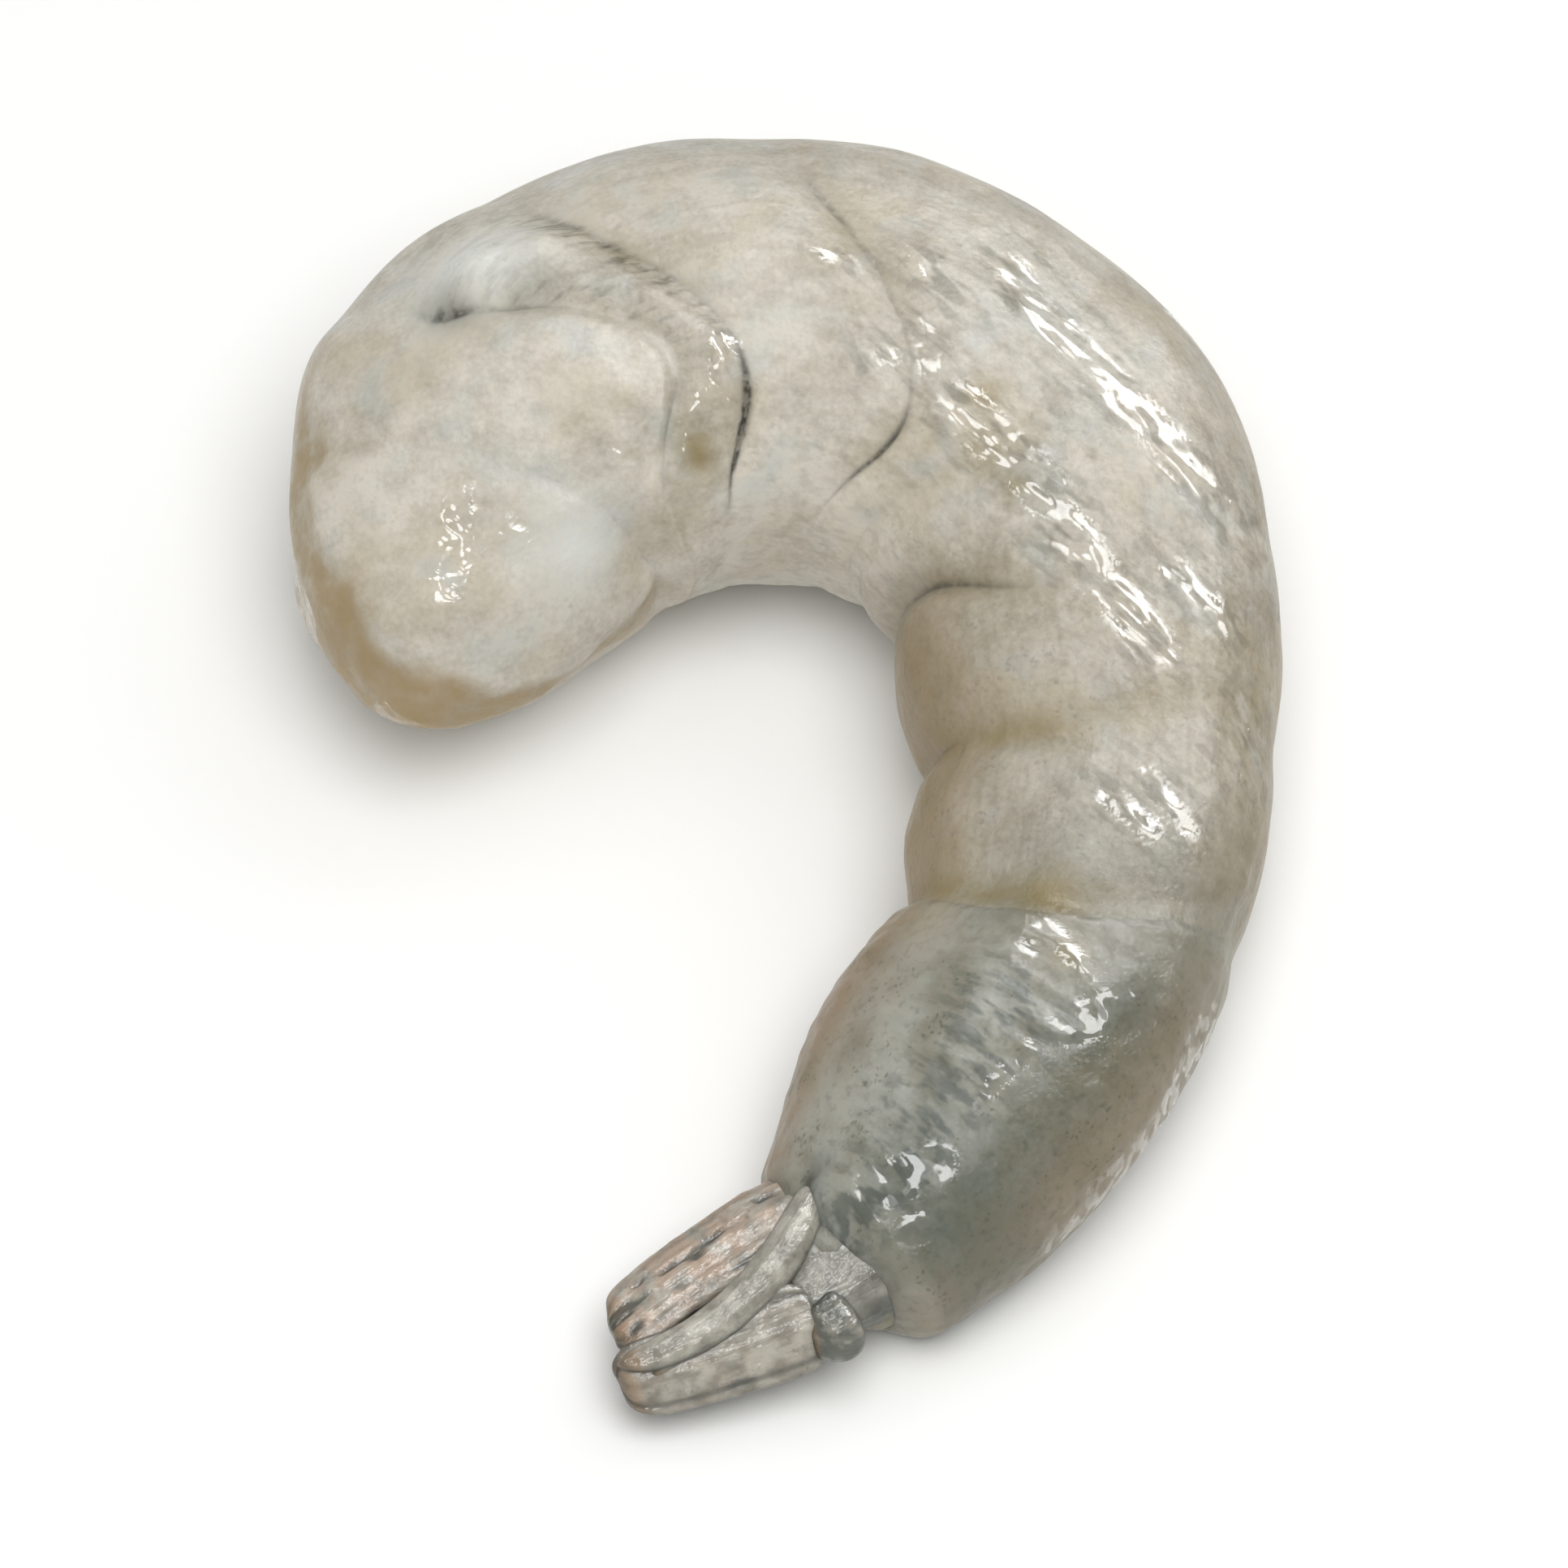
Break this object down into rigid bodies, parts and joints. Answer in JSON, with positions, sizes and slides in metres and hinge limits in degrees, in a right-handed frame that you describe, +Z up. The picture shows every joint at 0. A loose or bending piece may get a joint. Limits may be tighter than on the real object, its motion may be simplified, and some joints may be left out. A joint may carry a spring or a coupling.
{
  "type": "peeled shrimp",
  "caption": "Raw peeled shrimp with its tail shell left on, curled on its side: grooved pale flesh, rounded head end, smooth last shell segment and closed tail fan.",
  "frame": {"origin": "centre of the bounding box in plan, on the surface that the shrimp lies on", "axes": "+Z up, away from the surface; +Y from the tail fan towards the top of the curl; the open side of the curl faces -X"},
  "size_m": [0.0512, 0.0698, 0.0194],
  "materials": {
    "flesh": "wet, translucent raw flesh",
    "shell": "wet, thin grey-green shell"
  },
  "bodies": {
    "root": {"shrimp": "flesh"}
  },
  "joints": []
}
